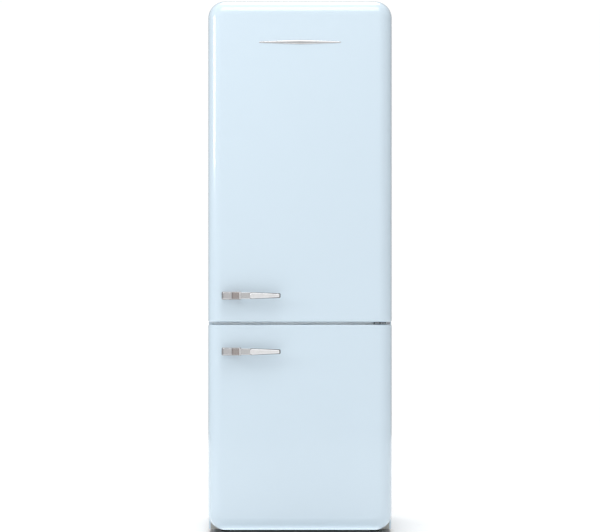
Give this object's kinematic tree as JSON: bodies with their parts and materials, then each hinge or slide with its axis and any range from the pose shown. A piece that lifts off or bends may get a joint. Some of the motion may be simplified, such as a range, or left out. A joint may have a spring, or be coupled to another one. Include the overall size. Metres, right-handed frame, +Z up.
{
  "type": "bottom freezer refrigerator",
  "caption": "Tall retro refrigerator in a rounded pale blue cabinet: hinged fridge door above, hinged freezer door below, chrome lever handles, drawers, shelves and bins inside.",
  "frame": {"origin": "on the floor, under the centre of the whole object's box, handles included", "axes": "+Z up, the doors face -Y, the door hinges are at +X"},
  "size_m": [0.706, 0.813, 2.05],
  "materials": {
    "enamel": "gloss",
    "grey_steel": "satin",
    "dark_steel": "satin",
    "black_steel": "semi-gloss",
    "copper": "bright",
    "aluminium_fins": "mill",
    "foam": "foamed",
    "white_plastic": "satin",
    "clear_plastic": "clear",
    "shelf_glass": "polished",
    "chrome": "polished",
    "seal_rubber": "matt",
    "black_plastic": "matt"
  },
  "bodies": {
    "cabinet": {"cabinet_wrapper": "enamel", "back_panel": "grey_steel", "base_frame": "grey_steel", "cabinet_foam": "foam", "fridge_liner": "white_plastic", "freezer_liner": "white_plastic", "centre_rail": "grey_steel", "plinth": "grey_steel", "upper_hinge": "grey_steel", "centre_hinge": "dark_steel", "lower_hinge": "grey_steel", "rear_axle": "grey_steel", "compressor": "black_steel", "condenser_tube": "black_steel", "filter_drier": "copper", "discharge_pipe": "copper", "drip_tray": "black_plastic", "evaporator": "aluminium_fins", "evaporator_cover": "white_plastic", "fan_motor": "black_steel", "air_duct": "white_plastic", "control_panel": "white_plastic", "lamp_cover": "clear_plastic", "glass_shelf_1": "shelf_glass", "glass_shelf_2": "shelf_glass", "glass_shelf_3": "shelf_glass", "bottle_rack": "chrome", "crisper_lid": "shelf_glass", "power_inlet": "black_plastic"},
    "upper_door": {"upper_door_skin": "enamel", "upper_door_foam": "foam", "upper_door_liner": "white_plastic", "upper_door_gasket": "seal_rubber", "upper_handle_mount": "chrome", "upper_handle_lever": "chrome", "door_badge": "chrome", "dairy_bin": "clear_plastic", "door_bin": "clear_plastic", "door_bin_middle": "clear_plastic", "bottle_bin": "clear_plastic"},
    "lower_door": {"lower_door_skin": "enamel", "lower_door_foam": "foam", "lower_door_liner": "white_plastic", "lower_door_gasket": "seal_rubber", "lower_handle_mount": "chrome", "lower_handle_lever": "chrome"},
    "dairy_lid": {"dairy_lid": "clear_plastic"},
    "crisper_left": {"crisper_left": "clear_plastic"},
    "crisper_right": {"crisper_right": "clear_plastic"},
    "chiller_drawer": {"chiller_drawer": "clear_plastic"},
    "freezer_drawer_top": {"freezer_drawer_top": "clear_plastic"},
    "freezer_drawer_middle": {"freezer_drawer_middle": "clear_plastic"},
    "freezer_drawer_bottom": {"freezer_drawer_bottom": "clear_plastic"},
    "fan_rotor": {"fan_rotor": "black_plastic"},
    "temperature_dial": {"temperature_dial": "white_plastic"},
    "fast_cool_button": {"fast_cool_button": "white_plastic"},
    "foot_left": {"foot_left": "black_plastic"},
    "foot_right": {"foot_right": "black_plastic"},
    "roller_left": {"roller_left": "black_plastic"},
    "roller_right": {"roller_right": "black_plastic"}
  },
  "joints": [
    {"name": "upper_door_hinge", "type": "hinge", "parent": "cabinet", "child": "upper_door", "pos_m": [0.34, -0.2955, 0.818], "axis": [0, 0, 1], "range_deg": [0, 120]},
    {"name": "lower_door_hinge", "type": "hinge", "parent": "cabinet", "child": "lower_door", "pos_m": [0.34, -0.2955, 0.016], "axis": [0, 0, 1], "range_deg": [0, 120]},
    {"name": "dairy_lid_hinge", "type": "hinge", "parent": "upper_door", "child": "dairy_lid", "pos_m": [0, -0.2635, 1.8445], "axis": [1, 0, 0], "range_deg": [0, 85]},
    {"name": "crisper_left_slide", "type": "slide", "parent": "cabinet", "child": "crisper_left", "axis": [0, -1, 0], "range_m": [0, 0.38]},
    {"name": "crisper_right_slide", "type": "slide", "parent": "cabinet", "child": "crisper_right", "axis": [0, -1, 0], "range_m": [0, 0.28]},
    {"name": "chiller_drawer_slide", "type": "slide", "parent": "cabinet", "child": "chiller_drawer", "axis": [0, -1, 0], "range_m": [0, 0.38]},
    {"name": "freezer_drawer_top_slide", "type": "slide", "parent": "cabinet", "child": "freezer_drawer_top", "axis": [0, -1, 0], "range_m": [0, 0.42]},
    {"name": "freezer_drawer_middle_slide", "type": "slide", "parent": "cabinet", "child": "freezer_drawer_middle", "axis": [0, -1, 0], "range_m": [0, 0.42]},
    {"name": "freezer_drawer_bottom_slide", "type": "slide", "parent": "cabinet", "child": "freezer_drawer_bottom", "axis": [0, -1, 0], "range_m": [0, 0.29]},
    {"name": "fan_spin", "type": "hinge", "parent": "cabinet", "child": "fan_rotor", "pos_m": [0, 0.2625, 0.681], "axis": [0, 1, 0], "continuous": true},
    {"name": "temperature_dial_turn", "type": "hinge", "parent": "cabinet", "child": "temperature_dial", "pos_m": [-0.06, -0.1645, 1.9665], "axis": [0, -1, 0], "range_deg": [-135, 135]},
    {"name": "fast_cool_press", "type": "slide", "parent": "cabinet", "child": "fast_cool_button", "axis": [0, 1, 0], "range_m": [0, 0.0015], "stiffness_N_per_m": 800},
    {"name": "foot_left_screw", "type": "hinge", "parent": "cabinet", "child": "foot_left", "pos_m": [-0.29, -0.2095, 0], "axis": [0, 0, 1], "continuous": true},
    {"name": "foot_right_screw", "type": "hinge", "parent": "cabinet", "child": "foot_right", "pos_m": [0.29, -0.2095, 0], "axis": [0, 0, 1], "continuous": true},
    {"name": "roller_left_spin", "type": "hinge", "parent": "cabinet", "child": "roller_left", "pos_m": [-0.275, 0.3245, 0.014], "axis": [1, 0, 0], "continuous": true},
    {"name": "roller_right_spin", "type": "hinge", "parent": "cabinet", "child": "roller_right", "pos_m": [0.275, 0.3245, 0.014], "axis": [1, 0, 0], "continuous": true}
  ],
  "couplings": [
    {"joint": "crisper_left_slide", "follows": "upper_door_hinge", "m_per_rad": 0.0716},
    {"joint": "crisper_right_slide", "follows": "upper_door_hinge", "m_per_rad": 0.0716},
    {"joint": "chiller_drawer_slide", "follows": "upper_door_hinge", "m_per_rad": 0.0716},
    {"joint": "freezer_drawer_top_slide", "follows": "lower_door_hinge", "m_per_rad": 0.0716},
    {"joint": "freezer_drawer_middle_slide", "follows": "lower_door_hinge", "m_per_rad": 0.0716},
    {"joint": "freezer_drawer_bottom_slide", "follows": "lower_door_hinge", "m_per_rad": 0.0716}
  ]
}
